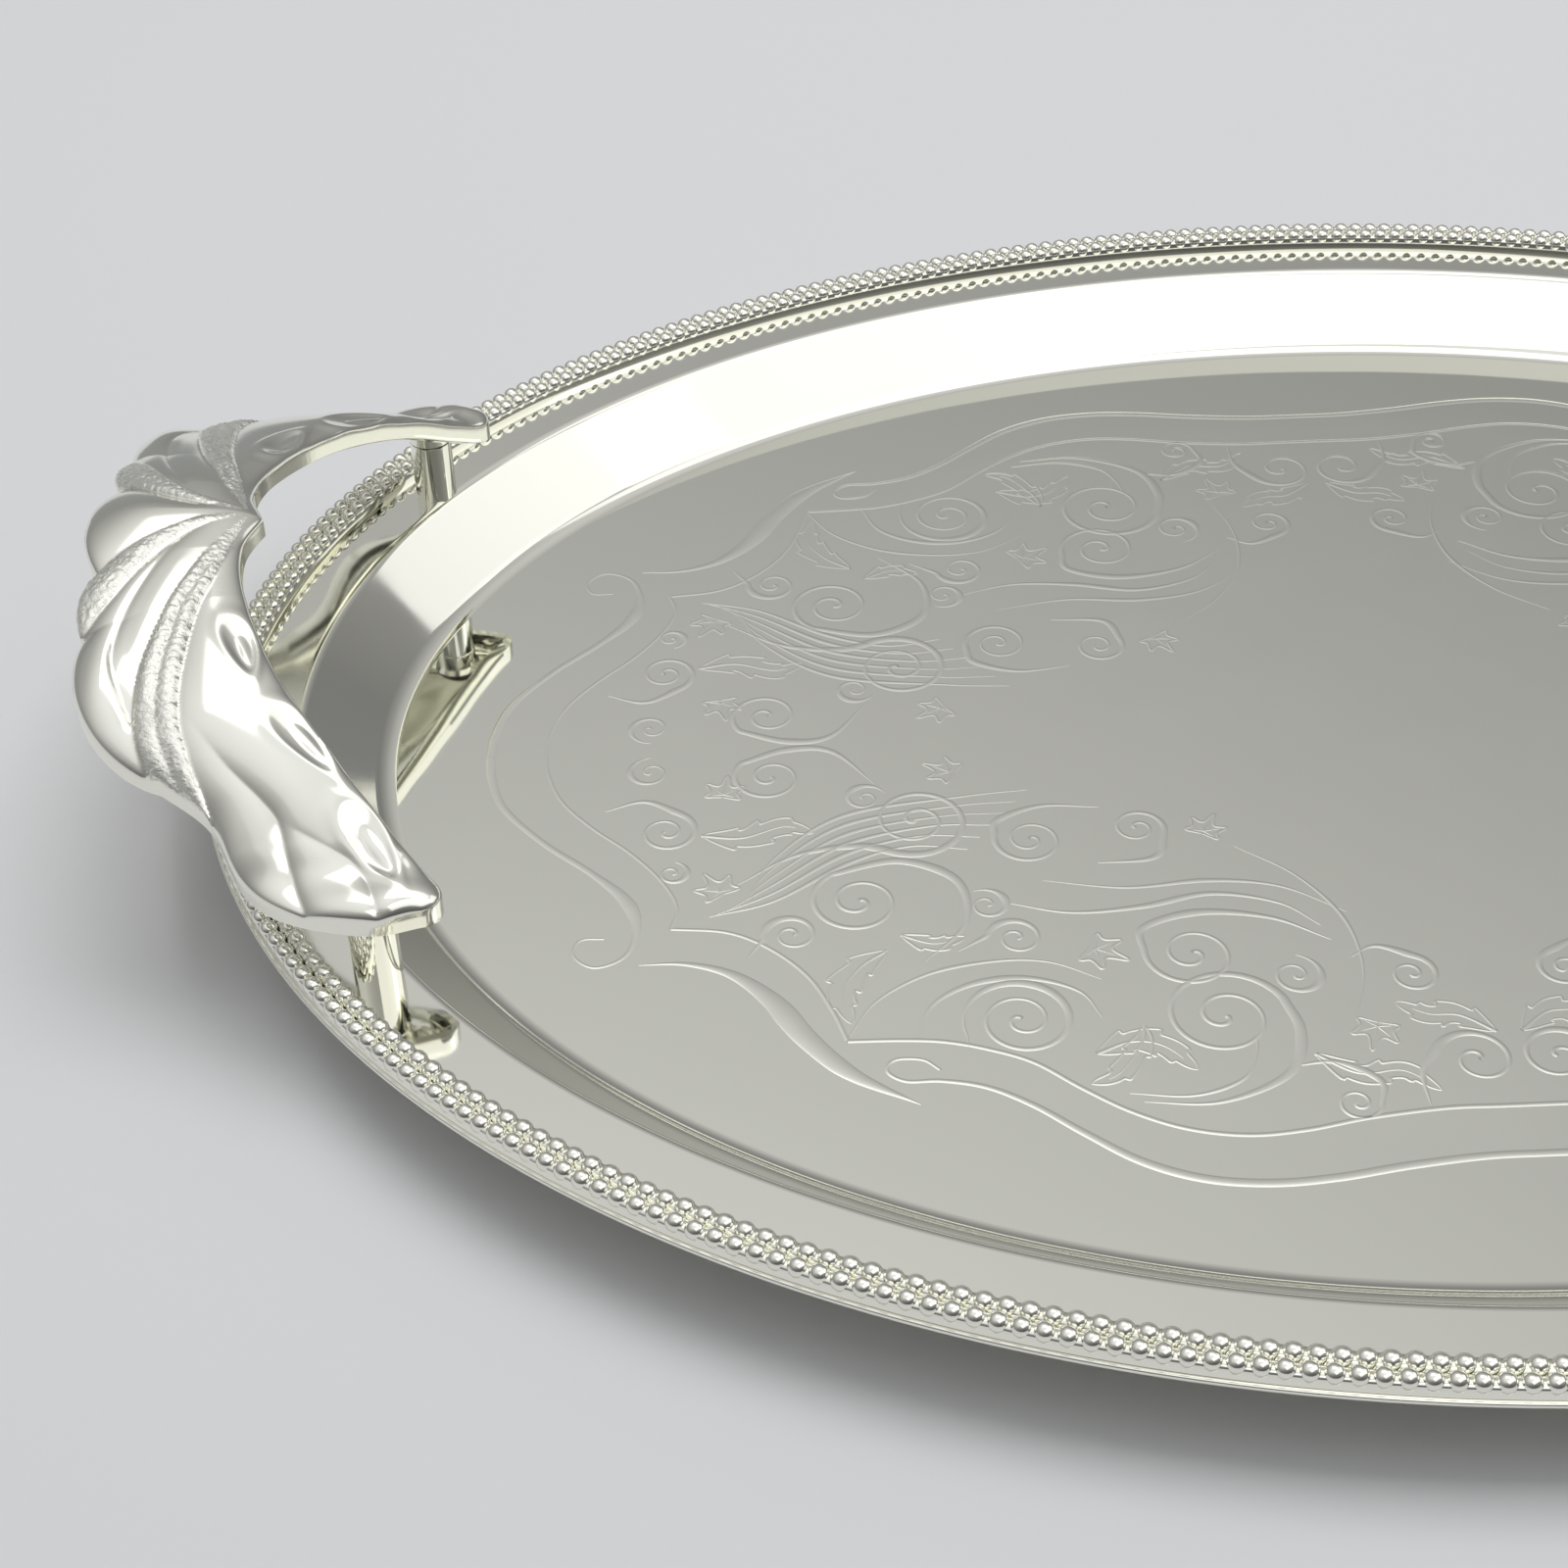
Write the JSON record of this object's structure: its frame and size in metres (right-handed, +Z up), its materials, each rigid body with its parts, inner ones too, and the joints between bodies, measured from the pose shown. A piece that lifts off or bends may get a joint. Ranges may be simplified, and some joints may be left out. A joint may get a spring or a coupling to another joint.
{
  "type": "serving tray",
  "caption": "Oval silver-plated serving tray with a shallow engraved well, beaded rim and scrolled shell handles raised on pillars at its ends.",
  "frame": {"origin": "on the table under the middle of the floor", "axes": "+X along the tray's length through both handles, +Y across the tray, +Z up"},
  "size_m": [0.459, 0.328, 0.058],
  "materials": {
    "silver_pan": "polished silver plate on pressed sheet, with a fine engraved pattern on the floor",
    "silver_beads": "polished silver plate, stamped beads",
    "silver_cast": "polished silver plate on a casting, with stippled ribs",
    "silver_pillar": "polished silver plate on turned metal",
    "fastener_steel": "bright nickel-plated steel"
  },
  "bodies": {
    "root": {"tray_pan": "silver_pan", "outer_bead_wire": "silver_beads", "inner_bead_wire": "silver_beads", "handle_left": "silver_cast", "handle_right": "silver_cast", "pillar_left_front": "silver_pillar", "washer_left_front": "fastener_steel", "screw_left_front": "fastener_steel", "pillar_left_rear": "silver_pillar", "washer_left_rear": "fastener_steel", "screw_left_rear": "fastener_steel", "pillar_right_front": "silver_pillar", "washer_right_front": "fastener_steel", "screw_right_front": "fastener_steel", "pillar_right_rear": "silver_pillar", "washer_right_rear": "fastener_steel", "screw_right_rear": "fastener_steel"}
  },
  "joints": []
}
